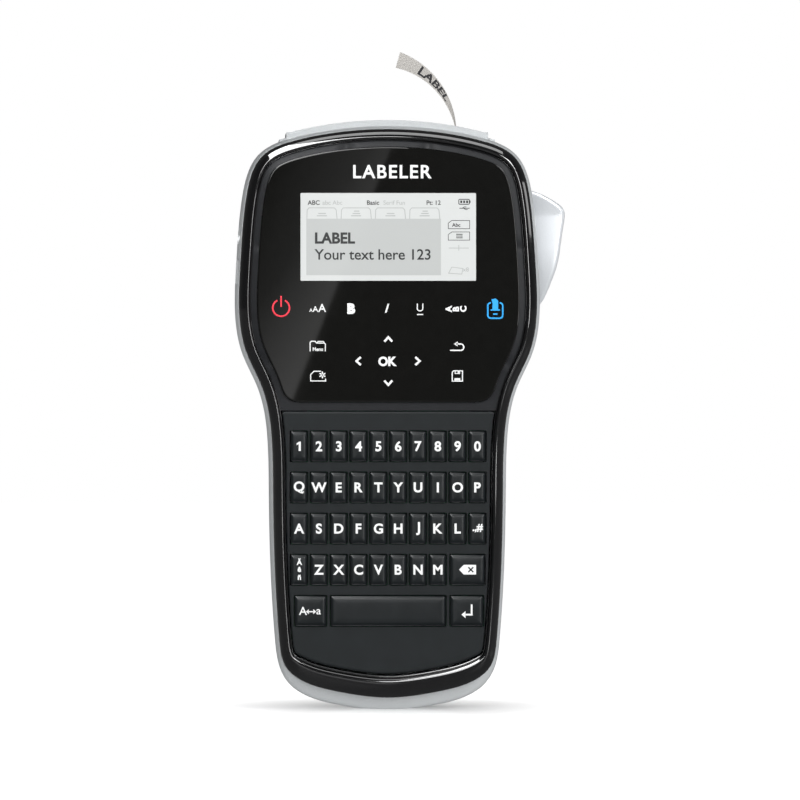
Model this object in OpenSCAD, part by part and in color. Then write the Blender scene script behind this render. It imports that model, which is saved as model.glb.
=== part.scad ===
// Handheld label printer: a glossy face with a screen and a keyboard, a silver rear shell
// with a tape cassette behind a door, and a tape cutter worked by a lever on the side.
// Millimetres. +X is right of the face, +Y runs from the face to the back, +Z is up its length.
// Every part is drawn from the joint plane between face and shell, then moved by stand().

/* [Face] */
// Half-width of the head at its widest
head_half = 50.9; // [49:0.1:52]
// Half-width of the grip at mid length
grip_half = 39.3; // [38.6:0.1:40.5]
// Height of the top edge of the face
face_top = 198.6; // [197.5:0.1:200]
// Height of the bottom edge of the face
face_foot = 5.1; // [4.4:0.1:5.8]
// How far the crown of the bezel stands in front of the joint plane
bezel_crown = 8.6; // [8.4:0.1:9.5]
// Width of the glossy bezel band
bezel_band = 4.1; // [3.8:0.1:4.4]
// Width of the dark rim between the bezel band and the display window
rim_band = 2.1; // [1.5:0.1:2.6]

/* [Rear shell] */
// Depth of the grip behind the joint plane
grip_depth = 22; // [21:0.5:24]
// Depth of the head behind the joint plane
head_depth = 48; // [47.5:0.5:50]
// Wall thickness of the rear shell
shell_wall = 2.2; // [1.8:0.1:2.4]
// How far the shell swells out beyond the bezel at the sides
side_swell = 1.3; // [1:0.1:2]
// How far the shell swells out below the bezel at the foot
foot_swell = 5.1; // [4:0.1:6]
// Rise of the tape exit ridge above the top of the face
ridge_rise = 3; // [2:0.1:3.5]
// Half-width of the tape exit ridge
ridge_half = 38; // [36:0.5:39]

/* [Keys] */
// Width of a letter key
key_w = 5.8; // [5.2:0.1:6]
// Height of a key
key_h = 10.3; // [9.5:0.1:10.8]
// Spacing of the columns
col_pitch = 6.77; // [6.7:0.01:6.8]
// Spacing of the rows
row_pitch = 14.05; // [13.5:0.05:14.1]
// Height of the centre of the top row
top_row = 90.1; // [89.5:0.1:90.5]
// Travel of a key
key_travel = 0.8; // [0.5:0.1:0.8]
// Gap between a key and the mat around it
key_gap = 0.3; // [0.25:0.05:0.35]

/* [Tape] */
// Width of the label tape
tape_w = 12; // [9:1:12]
// Thickness of the label tape
tape_t = 0.2; // [0.15:0.05:0.3]
// Radius of the curl of the printed label
curl_r = 28.6; // [26:0.1:30]
// How far the printed label curls over
curl_turn = 73; // [50:1:75]
// Twist of the printed label at its free end
curl_twist = 30; // [0:1:35]

/* [Hidden] */
wide_key = 11.9;
// Keys: name, row counted from the top, centre in columns from the middle, width
KEYS = concat(
    [for (c = [0 : 9]) [["1", "2", "3", "4", "5", "6", "7", "8", "9", "0"][c], 0, c - 4.5, key_w]],
    [for (c = [0 : 9]) [["q", "w", "e", "r", "t", "y", "u", "i", "o", "p"][c], 1, c - 4.5, key_w]],
    [for (c = [0 : 9]) [["a", "s", "d", "f", "g", "h", "j", "k", "l", "symbols"][c], 2, c - 4.5, key_w]],
    [for (c = [0 : 7]) [["accents", "z", "x", "c", "v", "b", "n", "m"][c], 3, c - 4.5, key_w]],
    [["backspace", 3, 4, wide_key], ["capitals", 4, -3.92, 10.9],
     ["space", 4, 0, 39.4], ["return", 4, 3.97, 11.4]]);

$fn = 48;
eps = 0.01;

// Stack of the face, front to back, as depths
mat_front = -7;
mat_back = -5.8;
plate_back = -4.2;
key_front = -8.3;
board_front = -3;
board_back = -1.4;

// Face layout
mat_top = 102;
window_foot = 105.2;
window_corner = 5;
lcd_half = 30;
lcd_low = 146.6;
lcd_high = 176.6;

// Lever and cutter
lever_y0 = 12;
lever_y1 = 36;
lever_pivot = [46.5, 139.5];
lever_pin_r = 2;
run_gap = 0.05;
lever_tip_x = 60.1;
spring_wire = 0.35;
spring_r = 3.9;
spring_coils = 4;
spring_y = 27;

// Tape path: the tape stands edge-on to the face
tape_x = 24.6;
tape_mid_y = 34;
cut_z = 188.5;
cut_gap = 0.5;
curl_z = 195;
roller_r = 4.6;
roller_z = 183;
roller_x = tape_x - tape_t / 2 - 0.3 - roller_r;

// Gears, in a plane of their own in front of the chassis
gear_module = 0.8;
drive_teeth = 25;
pinion_teeth = 10;
gear_y0 = 17.5;
gear_y1 = 20.5;
gear_pitch_r = gear_module * drive_teeth / 2;
pinion_pitch_r = gear_module * pinion_teeth / 2;
mesh_angle = 210;
pinion_x = roller_x + (gear_pitch_r + pinion_pitch_r) * cos(mesh_angle);
pinion_z = roller_z + (gear_pitch_r + pinion_pitch_r) * sin(mesh_angle);
chassis_y0 = 21.5;
chassis_y1 = 23.5;

// Doors in the back
door_half = 35;
door_low = 129.8;
door_high = 183;
cover_half = 22;
cover_low = 31;
cover_high = 96;
bead_r = 1.6;
door_gap = 0.35;
pin_r = 1;

// Power socket, and the outer end of both sockets
jack_x = -47;
jack_y = 4.1;
jack_z = 162.5;

// Screws
case_screws = [[-22, 19], [22, 19], [-31, 104], [31, 104]];
chassis_screws = [[-37, 180], [-37, 130], [36, 130]];

// Middle of the whole object's box
mid_x = (lever_tip_x - head_half - side_swell) / 2;
mid_y = (head_depth - bezel_crown) / 2;

// ---- Outline of the face ----

// Right-hand edge of the face from foot to top: half-width and height
edge_knots = [
    [0, face_foot],
    [0.415 * grip_half, face_foot + 1.6],
    [0.71 * grip_half, face_foot + 5.1],
    [0.89 * grip_half, face_foot + 10.6],
    [0.947 * grip_half, face_foot + 19],
    [0.982 * grip_half, 45],
    [grip_half, 72],
    [1.022 * grip_half, 97],
    [0.855 * head_half, 111.3],
    [0.953 * head_half, 122.3],
    [head_half, 135.5],
    [0.992 * head_half, 153],
    [0.955 * head_half, 174.5],
    [0.855 * head_half, face_top - 9.8],
    [0.63 * head_half, face_top - 4],
    [0.322 * head_half, face_top - 1],
    [0, face_top],
];
spans = len(edge_knots) - 1;
steps = 3;
ring_n = 2 * spans * steps;

// Knot i of the closed outline, with the left side mirrored from the right
function knot(i) =
    let (j = (i + 2 * spans) % (2 * spans))
    j <= spans ? edge_knots[j] : [-edge_knots[2 * spans - j][0], edge_knots[2 * spans - j][1]];

// Smooth curve through the knots, at place t in span i
function curve(i, t) =
    let (a = knot(i - 1), b = knot(i), c = knot(i + 1), d = knot(i + 2))
    0.5 * (2 * b + (c - a) * t + (2 * a - 5 * b + 4 * c - d) * t * t
        + (3 * b - a - 3 * c + d) * t * t * t);

edge = [for (i = [0 : 2 * spans - 1], s = [0 : steps - 1]) curve(i, s / steps)];

// Outward unit normal at point i of the edge
function outward(i) =
    let (d = edge[(i + 1) % ring_n] - edge[(i + ring_n - 1) % ring_n])
    [d[1], -d[0]] / norm(d);

// The outline moved outwards by side, and by foot where it faces down at the foot
function outline(side, foot) = [
    for (i = [0 : ring_n - 1])
        let (n = outward(i), low = min(1, max(0, (waist_z - edge[i][1]) / foot_blend)))
        edge[i] + n * (side + (foot - side) * max(0, -n[1]) * low)
];
// The foot's own swell ends at the waist and fades in below it
waist_z = 80;
foot_blend = 30;
// An inward step is 1.44 times deeper at the foot than at the sides
foot_share = 1.44;
function inset(d) = outline(-d, -foot_share * d);

// ---- Helpers ----

module stand() translate([-mid_x, -mid_y, 0]) children();

// Extrudes a face-on outline between two depths
module deep(y0, y1) translate([0, y1, 0]) rotate([90, 0, 0]) linear_extrude(y1 - y0) children();

// Round bar along the depth
module rod_y(x, z, y0, y1, r) translate([x, y1, z]) rotate([90, 0, 0]) cylinder(h = y1 - y0, r = r);

// Round bar along the width
module rod_x(x0, x1, y, z, r) translate([x0, y, z]) rotate([0, 90, 0]) cylinder(h = x1 - x0, r = r);

// Block between two corners
module block(a, b) translate(a) cube(b - a);

// Face-on rectangle with round corners
module round_rect(x0, z0, x1, z1, r) {
    translate([x0 + r, z0 + r]) offset(r) square([x1 - x0 - 2 * r, z1 - z0 - 2 * r]);
}

// Side faces between ring k and the next, for rings of n points
function ring_faces(k, k2, n) = [
    for (i = [0 : n - 1])
        [k * n + i, k * n + (i + 1) % n, k2 * n + (i + 1) % n, k2 * n + i]
];

// ---- Rear shell surface ----

spine_low = 38;
spine_high = 160;
flat_share = 0.8;
wall_y = 9;

// Depth of the back at a height: grip, slope, head
function back_depth(z) =
    let (t = min(1, max(0, (z - 100) / 26)))
    grip_depth + (head_depth - grip_depth) * t * t * (3 - 2 * t);

// Point of the spine that belongs to a point of the outline
function spine(p) = [0, min(spine_high, max(spine_low, p[1]))];

// One ring of the shell: the outline, drawn in towards the spine, with its depth.
// turn runs from 0 at the side wall to 90 at the flat back.
function shell_ring(side, foot, turn, wall) = [
    for (p = outline(side - wall, foot - wall))
        let (c = spine(p), u = flat_share + (1 - flat_share) * cos(turn), q = c + (p - c) * u)
        [q[0], wall_y + (back_depth(q[1]) - wall - wall_y) * sin(turn), q[1]]
];

// Rings of the side wall, from the joint plane back: side swell, foot swell, depth
wall_rings = [
    [0.2, 0.3, 0],
    [0.6 * side_swell, 0.4 * foot_swell, 1.2],
    [side_swell, 0.9 * foot_swell, 5],
];
back_turns = [0, 22, 45, 68, 90];

// Rings of one skin of the shell, set in by wall, from the joint plane back
function skin_rings(wall) = concat(
    [for (r = wall_rings) [for (p = outline(r[0] - wall, r[1] - wall)) [p[0], r[2], p[1]]]],
    [for (t = back_turns) shell_ring(side_swell, foot_swell, t, wall)]);

// Strips closing the back of the ring that starts at point s
function back_faces(s) =
    let (half = ring_n / 2)
    concat(
        [[s, s + 1, s + ring_n - 1]],
        [for (i = [1 : half - 2]) [s + i, s + i + 1, s + ring_n - i - 1, s + ring_n - i]],
        [[s + half - 1, s + half, s + half + 1]]);

function flipped(face) = [for (i = [len(face) - 1 : -1 : 0]) face[i]];

// Open cup: inner skin from the back to the joint plane, then outer skin to the back
module shell_cup() {
    inner = skin_rings(shell_wall);
    count = len(inner);
    rings = concat([for (k = [count - 1 : -1 : 0]) inner[k]], skin_rings(0));
    polyhedron(
        points = [for (r = rings, p = r) p],
        faces = concat(
            [for (f = back_faces(0)) flipped(f)],
            [for (k = [0 : 2 * count - 2], f = ring_faces(k, k + 1, ring_n)) f],
            back_faces((2 * count - 1) * ring_n)),
        convexity = 8);
}

// ---- Fixed parts of the face ----

// Section of the bezel band: share of its width from the outer edge, and depth
crown_section = [
    [0, -5.5], [0, 0], [0.54, 0], [0.54, plate_back], [1, plate_back], [1, -7.2],
    [0.84, -8.2], [0.6, -bezel_crown], [0.36, -bezel_crown + 0.2], [0.12, -7.4],
];

module front_bezel() stand() color([0.03, 0.03, 0.035]) {
    count = len(crown_section);
    polyhedron(
        points = [for (s = crown_section, p = inset(s[0] * bezel_band)) [p[0], s[1], p[1]]],
        faces = [for (k = [0 : count - 1], f = ring_faces(k, (k + 1) % count, ring_n)) f],
        convexity = 10);
    difference() {
        deep(mat_back, plate_back) polygon(inset(bezel_band - 0.2));
        deep(mat_back - 1, plate_back + 1) {
            translate([-lcd_half - 1.2, lcd_low - 1.2])
                square([2 * lcd_half + 2.4, lcd_high - lcd_low + 2.4]);
            for (r = [0 : 4]) translate([-33.6, top_row - r * row_pitch - key_h / 2 - 0.5])
                square([67.2, key_h + 1]);
        }
        for (s = concat(case_screws, chassis_screws)) rod_y(s[0], s[1], -5, 0, 1.15);
    }
    // rim between the bezel band and the window
    difference() {
        deep(mat_front, mat_back + eps) polygon(inset(bezel_band - 0.2));
        deep(mat_front - 1, mat_back + 1) {
            window_shape(0.1);
            mat_shape(0.15);
        }
    }
    for (s = case_screws) screw_boss(s, 6);
    for (s = chassis_screws) screw_boss(s, chassis_y0);
}

module screw_boss(s, y1) difference() {
    rod_y(s[0], s[1], plate_back - eps, y1, 3.2);
    rod_y(s[0], s[1], -5, y1 + 1, 1.15);
}

// Outline of the display window, grown by g
module window_shape(g) {
    round_foot = window_corner + g;
    intersection() {
        polygon(inset(bezel_band + rim_band - g));
        union() {
            round_rect(-38, window_foot - g, 38, window_foot + 60, round_foot);
            translate([-60, window_foot + round_foot - g]) square([120, 120]);
        }
    }
}

// Outline of the keypad mat, grown by g
module mat_shape(g) {
    intersection() {
        polygon(inset(bezel_band + 0.5 - g));
        translate([-60, -10]) square([120, mat_top + 10 + g]);
    }
}

module display_window() stand() color([0.02, 0.02, 0.025])
    deep(-8, mat_back) window_shape(0);

module lcd_panel() stand() color([0.82, 0.84, 0.84]) {
    deep(mat_back + 0.05, mat_back + 1.2)
        translate([-lcd_half - 0.7, lcd_low - 0.7])
            square([2 * lcd_half + 1.4, lcd_high - lcd_low + 1.4]);
    deep(mat_back + 1.2, board_front)
        translate([-lcd_half - 0.7, lcd_low - 0.2])
            square([2 * lcd_half + 1.4, lcd_high - lcd_low + 0.4]);
}

module keypad_mat() stand() color([0.16, 0.18, 0.2])
    difference() {
        deep(mat_front, mat_back) mat_shape(0);
        for (k = KEYS) key_block(k, key_gap, mat_front - 1, mat_back + 1);
    }

function key_x(k) = k[2] * col_pitch;
function key_z(k) = top_row - k[1] * row_pitch;

module key_block(k, g, y0, y1)
    block([key_x(k) - k[3] / 2 - g, y0, key_z(k) - key_h / 2 - g],
          [key_x(k) + k[3] / 2 + g, y1, key_z(k) + key_h / 2 + g]);

// A key cap with a bevelled front and a stem over its contact
module key(k) stand() color([0.17, 0.19, 0.21]) {
    bevel = 0.5;
    key_block(k, 0, key_front + 0.45, mat_back - 0.1);
    key_block(k, -bevel, key_front, key_front + 0.45 + eps);
    block([key_x(k) - 1.2, mat_back - 0.1 - eps, key_z(k) - 1.2],
          [key_x(k) + 1.2, board_front - 0.2 - key_travel, key_z(k) + 1.2]);
}

// ---- Rear shell, doors and screws ----

module rear_housing() stand() color([0.75, 0.77, 0.78]) difference() {
    union() {
        difference() {
            union() {
                shell_cup();
                exit_ridge();
            }
            shell_openings();
        }
        for (s = case_screws) screw_sleeve(s);
        for (side = [-1, 1]) {
            hinge_lug(side, door_half, head_depth, door_low);
            hinge_lug(side, cover_half, grip_depth, cover_low);
        }
        lever_ear(lever_y0 - 2.8, lever_y0 - 0.4, 51);
        lever_ear(lever_y1 + 0.4, lever_y1 + 2.8, 48);
    }
    // pin bores of the doors and of the lever
    pin_bore(door_half, head_depth, door_low);
    pin_bore(cover_half, grip_depth, cover_low);
    rod_y(lever_pivot[0], lever_pivot[1], lever_y0 - 2.8, lever_y1 + 2.8, lever_pin_r + run_gap);
}

module pin_bore(half, depth, z)
    rod_x(-half - 3.2, half + 3.2, depth - bead_r, z, pin_r + run_gap);

module shell_openings() {
    // tape slot
    block([tape_x - 2.2, tape_mid_y - tape_w / 2 - 1.5, 188],
          [tape_x + 0.8, tape_mid_y + tape_w / 2 + 1.5, 210]);
    // lever
    block([43, lever_y0 - 0.4, 135.8], [62, lever_y1 + 0.4, 178.8]);
    door_opening(door_half + door_gap, door_low, door_high, head_depth);
    door_opening(cover_half + door_gap, cover_low, cover_high, grip_depth);
    // power and data sockets on the left
    rod_x(-60, -40, jack_y, jack_z, 3.6);
    block([-60, 0.6, 145.6], [-40, 5, 154.4]);
    for (s = case_screws) rod_y(s[0], s[1], 6, 60, 2.8);
}

// Opening for a hinged cover, with square lower corners for the ends of its bead
module door_opening(half, low, high, depth) deep(depth - 4, depth + 1) {
    foot = low - bead_r - door_gap;
    round_rect(-half, foot, half, high + door_gap, 2);
    translate([-half, foot]) square([2 * half, 5]);
}

// Ridge over the top of the head that the tape comes out of
module exit_ridge() difference() {
    for (step = [[ridge_half, ridge_rise, 0], [ridge_half + 3, ridge_rise - 1.2, 2]])
        deep(5 + step[2], head_depth - 5 + step[2] / 2) intersection() {
            difference() {
                polygon(outline(step[1], 0));
                polygon(inset(3.2));
            }
            translate([-step[0], 180]) square([2 * step[0], 40]);
        }
    // relief round the drive gear
    rod_y(roller_x, roller_z, gear_y0 - 1, gear_y1 + 1, gear_pitch_r + 1.6);
}

module screw_sleeve(s) difference() {
    rod_y(s[0], s[1], 6, back_depth(s[1] - 4) - 1, 4);
    rod_y(s[0], s[1], 5, 60, 1.4);
    rod_y(s[0], s[1], 12, 60, 2.8);
}

// Bearing for one end of a door's hinge pins
module hinge_lug(side, half, depth, z) {
    x0 = side > 0 ? half + door_gap : -half - door_gap - 3.2;
    block([x0, depth - 4.2, z - 2.2], [x0 + 3.2, depth - 0.2, z + 2.2]);
}

// Bearing for one end of the lever's pin
module lever_ear(y0, y1, x1)
    block([lever_pivot[0] - 4, y0, lever_pivot[1] - 4], [x1, y1, lever_pivot[1] + 4]);

// A flat cover with a round lower edge and a hinge pin at each end
module hinged_cover(half, low, high, depth, pull_w) {
    difference() {
        deep(depth - 2, depth) union() {
            round_rect(-half, low + 4, half, high, 4);
            translate([-half, low]) square([2 * half, 12]);
        }
        // finger scoop
        rod_x(-pull_w / 2, pull_w / 2, depth + 1.4, high - 8, 2.4);
    }
    rod_x(-half, half, depth - bead_r, low, bead_r);
    rod_x(-half - 2.6, half + 2.6, depth - bead_r, low, pin_r);
}

module cassette_door() stand() color([0.7, 0.72, 0.73]) difference() {
    hinged_cover(door_half, door_low, door_high, head_depth, 24);
    // viewing slot over the cassette
    deep(head_depth - 5, head_depth + 1) round_rect(-15, 150, 15, 158, 3.9);
}

module battery_cover() stand() color([0.72, 0.74, 0.75])
    hinged_cover(cover_half, cover_low, cover_high, grip_depth, 16);

module battery_pack() stand() color([0.2, 0.25, 0.32]) {
    deep(4, 18) round_rect(-19, 37, 19, 92, 3);
    for (x = [-6, 0, 6]) block([x - 1.5, 7, 92 - eps], [x + 1.5, 12, 92.6]);
}

// Pan-head screw, pointing to the face
module screw(s, head_y, length) difference() {
    union() {
        rod_y(s[0], s[1], head_y - length, head_y + eps, 1.1);
        rod_y(s[0], s[1], head_y, head_y + 1.8, 2.4);
    }
    for (a = [0, 90]) translate([s[0], head_y + 1.8, s[1]]) rotate([0, a, 0])
        cube([3, 1.6, 0.6], center = true);
}

module screws() stand() color([0.6, 0.6, 0.62]) {
    for (s = case_screws) screw(s, 12, 13);
    for (s = chassis_screws) screw(s, chassis_y1, 12);
}

// ---- Lever and cutter ----

// Face-on outline of the lever: thumb wedge outside the shell, boss at the pivot
lever_outline = [
    [45, 176.9], [48.9, 176.9], [54.5, 174.6], [58.8, 171.8], [lever_tip_x, 169.9],
    [59.2, 159.7], [57.6, 152.7], [55.2, 146.8], [52.8, 140.7], [51.2, 138.4],
    [49.6, 137.8], [45, 141.5],
];

module cutter_lever() stand() color([0.8, 0.82, 0.84]) {
    wall = 2;
    difference() {
        deep(lever_y0, lever_y1) polygon(lever_outline);
        deep(lever_y0 + wall, lever_y1 - wall) for (x = [0, -5])
            translate([x, 0]) offset(delta = -wall) polygon(lever_outline);
        // room for the spring
        rod_y(lever_pivot[0], lever_pivot[1], spring_y - 0.8, spring_y + 2.8, spring_r + 0.9);
    }
    rod_y(lever_pivot[0], lever_pivot[1], lever_y0, lever_y1, 3.2);
    rod_y(lever_pivot[0], lever_pivot[1], lever_y0 - 2.4, lever_y1 + 2.4, lever_pin_r);
    // rib that pushes the blade carrier
    block([41, 30.4, 149], [56.4, 34, 153]);
}

module cutter_blade() stand() color([0.7, 0.72, 0.75]) {
    foot_x = 40.4;
    leg_x = 31.5;
    leg_w = 1.5;
    half_t = 0.2;
    blade_y0 = tape_mid_y - tape_w / 2 - 0.6;
    blade_y1 = tape_mid_y + tape_w / 2 + 0.6;
    // blade with a ground edge
    translate([0, blade_y1, 0]) rotate([90, 0, 0]) linear_extrude(blade_y1 - blade_y0)
        polygon([[tape_x + 0.9, cut_z - half_t], [leg_x + 0.5, cut_z - half_t],
                 [leg_x + 0.5, cut_z + half_t], [tape_x + 2.4, cut_z + half_t]]);
    block([tape_x + 4, 29.5, cut_z + half_t - eps], [leg_x + 0.5, 36, cut_z + 1.2]);
    block([leg_x, 29.5, 150], [leg_x + leg_w, 33.5, cut_z + half_t]);
    block([leg_x, 29.5, 150], [foot_x, 36, 152]);
}

// Torsion spring around the lever's pin
module lever_spring() stand() color([0.65, 0.65, 0.68]) {
    step = 1.9 * spring_wire;
    translate([lever_pivot[0], spring_y, lever_pivot[1]]) rotate([-90, 0, 0]) rotate_extrude()
        for (c = [0 : spring_coils - 1]) translate([spring_r, c * step]) circle(spring_wire);
    for (leg = [[0, -1], [spring_coils - 1, 1]])
        translate([lever_pivot[0] + leg[1] * spring_r, spring_y + leg[0] * step, lever_pivot[1]])
            cylinder(h = 9, r = 0.8 * spring_wire);
}

// ---- Electronics ----

module circuit_board() stand() color([0.1, 0.35, 0.2]) {
    difference() {
        deep(board_front, board_back) union() {
            translate([-33, 24]) square([66, 84]);
            translate([-31, 100]) square([62, 85]);
            translate([-46, 144]) square([20, 25]);
        }
        for (s = case_screws) rod_y(s[0], s[1], -5, 0, 3.8);
    }
    // contacts under the keys
    for (k = KEYS) rod_y(key_x(k), key_z(k), board_front - 0.12, board_front, 2);
    // processor, driver and memory
    block([-9, board_back, 112], [9, board_back + 1.6, 130]);
    block([-26, board_back, 118], [-16, board_back + 1.4, 130]);
    block([14, board_back, 108], [26, board_back + 1.2, 114]);
    // power socket: barrel with a centre pin
    difference() {
        block([jack_x, board_back, jack_z - 4.5], [-38, jack_y + 4.5, jack_z + 4.5]);
        rod_x(jack_x - 1, -40, jack_y, jack_z, 2.9);
    }
    rod_x(jack_x + 1, -39.9, jack_y, jack_z, 1);
    // data socket
    difference() {
        block([jack_x, board_back, 146], [-41, 4.6, 154]);
        block([jack_x - 1, 0.9, 146.8], [-42, 3.9, 153.2]);
    }
    block([jack_x + 1, 2, 147.6], [-41.9, 2.8, 152.4]);
    // battery contacts
    for (x = [-6, 0, 6]) block([x - 1.2, board_back - eps, 93], [x + 1.2, 11, 93.6]);
}

module print_mechanism() stand() color([0.45, 0.47, 0.5]) {
    difference() {
        deep(chassis_y0, chassis_y1) {
            round_rect(-41, 124, 31.5, 187.5, 4);
            translate(chassis_screws[2] - [7, 4]) square([11, 8]);
        }
        deep(chassis_y0 - 1, chassis_y1 + 1) for (x = [-19, 11]) translate([x, 151]) circle(6);
        rod_y(roller_x, roller_z, 20, 25, 1.5 + run_gap);
        for (s = chassis_screws) rod_y(s[0], s[1], 20, 25, 1.4);
    }
    // print head with its heat sink
    head_x = tape_x + tape_t / 2 + 0.15;
    block([head_x, chassis_y1 - eps, 178.5], [head_x + 1.2, 41, 187.5]);
    for (z = [179, 181.6, 184.2, 186.8])
        block([head_x + 1.2 - eps, chassis_y1 - eps, z], [head_x + 3.2, 41, z + 0.7]);
    // motor
    difference() {
        rod_y(pinion_x, pinion_z, 2, 16.5, 7);
        rod_y(pinion_x, pinion_z, 9, 17, 1 + run_gap);
    }
    for (z = [-6, 6]) rod_y(pinion_x - 3.4, pinion_z + 0.8 * z, 16.5 - eps, chassis_y0 + eps, 1);
}

// Straight-sided gear teeth around a disc, between two depths
module gear(x, z, teeth, y0, y1, phase) {
    pitch_r = gear_module * teeth / 2;
    root_r = pitch_r - 1.15 * gear_module;
    tip_r = pitch_r + 0.85 * gear_module;
    step = 360 / teeth;
    translate([x, y1, z]) rotate([90, 0, 0]) linear_extrude(y1 - y0) rotate(phase)
        polygon([for (t = [0 : teeth - 1], p = [[root_r, -0.3], [tip_r, -0.09], [tip_r, 0.09], [root_r, 0.3]])
            p[0] * [cos((t + p[1]) * step), sin((t + p[1]) * step)]]);
}

module motor_pinion() stand() color([0.85, 0.8, 0.6]) {
    gear(pinion_x, pinion_z, pinion_teeth, gear_y0, gear_y1, mesh_angle - 180);
    rod_y(pinion_x, pinion_z, 10, gear_y0 + eps, 1);
}

module drive_roller() stand() color([0.85, 0.85, 0.8]) {
    gear(roller_x, roller_z, drive_teeth, gear_y0, gear_y1, mesh_angle + 180 / drive_teeth);
    rod_y(roller_x, roller_z, gear_y1 - eps, 43, 1.5);
    rod_y(roller_x, roller_z, tape_mid_y - 7, tape_mid_y + 7, roller_r);
}

// ---- Tape ----

module tape_cassette() stand() color([0.2, 0.2, 0.22]) {
    difference() {
        deep(25.6, 43) round_rect(-35, 126, 27, 177, 4);
        // reel hubs and the reading window
        for (x = [-19, 11]) rod_y(x, 151, 24, 38, 4.5);
        deep(42, 44) round_rect(-13, 151, 13, 157, 2.9);
    }
    for (x = [-19, 11]) difference() {
        rod_y(x, 151, 26, 38 + eps, 3.6);
        rod_y(x, 151, 24, 37, 2.4);
    }
    // tape that has left the cassette and passes the print head
    block([tape_x - tape_t / 2, tape_mid_y - tape_w / 2, 177 - eps],
          [tape_x + tape_t / 2, tape_mid_y + tape_w / 2, cut_z - cut_gap]);
}

// One cross-section of the curled label: angle round the curl, height below the curl
function label_ring(a, below) =
    let (out = [cos(a), 0, sin(a)], twist = curl_twist * a / curl_turn,
         mid = [tape_x - curl_r, tape_mid_y, curl_z - below] + curl_r * out,
         across = [0, cos(twist), 0] + sin(twist) * out,
         thick = cos(twist) * out - [0, sin(twist), 0])
    [for (s = [[-1, -1], [1, -1], [1, 1], [-1, 1]])
        mid + across * s[0] * tape_w / 2 + thick * s[1] * tape_t / 2];

module label_tape() stand() color([0.85, 0.84, 0.81]) {
    turns = 24;
    rings = concat([label_ring(0, curl_z - cut_z - cut_gap)],
        [for (t = [0 : turns]) label_ring(curl_turn * t / turns, 0)]);
    count = len(rings);
    polyhedron(
        points = [for (r = rings, p = r) p],
        // both broad sides are split along the same diagonal, so the twisted tape stays even
        faces = concat([[3, 2, 1, 0]],
            [for (k = [0 : count - 2], i = [0 : 3], t = [1, 2])
                let (f = ring_faces(k, k + 1, 4)[i], s = i < 2 ? 0 : 1)
                [f[s], f[(s + t) % 4], f[(s + t + 1) % 4]]],
            [[4 * count - 4, 4 * count - 3, 4 * count - 2, 4 * count - 1]]));
}

// ---- Assembly ----

front_bezel();
display_window();
lcd_panel();
keypad_mat();
rear_housing();
cassette_door();
battery_cover();
battery_pack();
cutter_lever();
cutter_blade();
lever_spring();
circuit_board();
print_mechanism();
motor_pinion();
drive_roller();
tape_cassette();
label_tape();
screws();
for (k = KEYS) key(k);
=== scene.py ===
"""Looks of a handheld label printer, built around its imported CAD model.

Lengths are millimetres in the face's own frame, unless a name says otherwise: x runs to the
right from the middle of the face, y from the plane between face and shell towards the back
(so the front of the face has negative y), and z up from the floor. world() turns them into
metres in the shared frame.
"""

import math

import bmesh
import bpy
import numpy as np
from mathutils import Matrix, Vector

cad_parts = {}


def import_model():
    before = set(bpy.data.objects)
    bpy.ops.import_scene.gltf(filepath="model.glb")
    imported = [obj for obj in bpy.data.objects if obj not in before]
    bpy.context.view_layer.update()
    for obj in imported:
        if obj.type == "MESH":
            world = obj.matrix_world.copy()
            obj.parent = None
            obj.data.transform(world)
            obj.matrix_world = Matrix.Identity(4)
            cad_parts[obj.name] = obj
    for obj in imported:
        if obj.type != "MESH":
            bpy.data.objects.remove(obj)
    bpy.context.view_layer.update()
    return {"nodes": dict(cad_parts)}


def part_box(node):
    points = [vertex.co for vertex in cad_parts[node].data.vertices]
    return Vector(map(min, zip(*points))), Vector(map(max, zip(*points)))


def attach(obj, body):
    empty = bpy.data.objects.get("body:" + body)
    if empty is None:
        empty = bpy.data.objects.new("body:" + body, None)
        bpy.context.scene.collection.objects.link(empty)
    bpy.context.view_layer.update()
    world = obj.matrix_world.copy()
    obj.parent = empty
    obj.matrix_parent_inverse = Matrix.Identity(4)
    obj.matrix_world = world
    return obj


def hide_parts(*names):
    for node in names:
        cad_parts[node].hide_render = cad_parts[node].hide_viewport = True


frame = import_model()
scene = bpy.context.scene

MM = 0.001
bezel_low, bezel_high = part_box("front_bezel")
shell_low, shell_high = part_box("rear_housing")
MID_X = (bezel_low.x + bezel_high.x) / 2
JOINT_Y = shell_low.y
HEAD_DEPTH = (shell_high.y - JOINT_Y) / MM


def world(p):
    """A point in face millimetres as metres in the shared frame."""
    return Vector((MID_X + p[0] * MM, JOINT_Y + p[1] * MM, p[2] * MM))


def in_scene(name, data):
    """A new object with its data, linked into the scene."""
    obj = bpy.data.objects.new(name, data)
    scene.collection.objects.link(obj)
    return obj


# ---- Node trees ----


def feed(tree, node, inputs):
    """Sets inputs of a node, each to a constant or from another node's output."""
    for name, value in inputs.items():
        if isinstance(value, bpy.types.NodeSocket):
            tree.links.new(value, node.inputs[name])
        else:
            node.inputs[name].default_value = value


def add_node(tree, kind, inputs=(), **fields):
    """A new shader node with its fields and some of its inputs set."""
    node = tree.nodes.new("ShaderNode" + kind)
    for name, value in fields.items():
        setattr(node, name, value)
    feed(tree, node, dict(inputs))
    return node


def new_material(name):
    """A material with its node tree and its main shader."""
    mat = bpy.data.materials.new(name)
    mat.use_nodes = True
    return mat, mat.node_tree, mat.node_tree.nodes["Principled BSDF"]


# ---- Camera, floor and light ----

SHEET_Y = -8.0
CAMERA_DISTANCE, CAMERA_TURN, FRAME_WIDTH = 3.0, math.radians(-1.5), 0.2732


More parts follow.
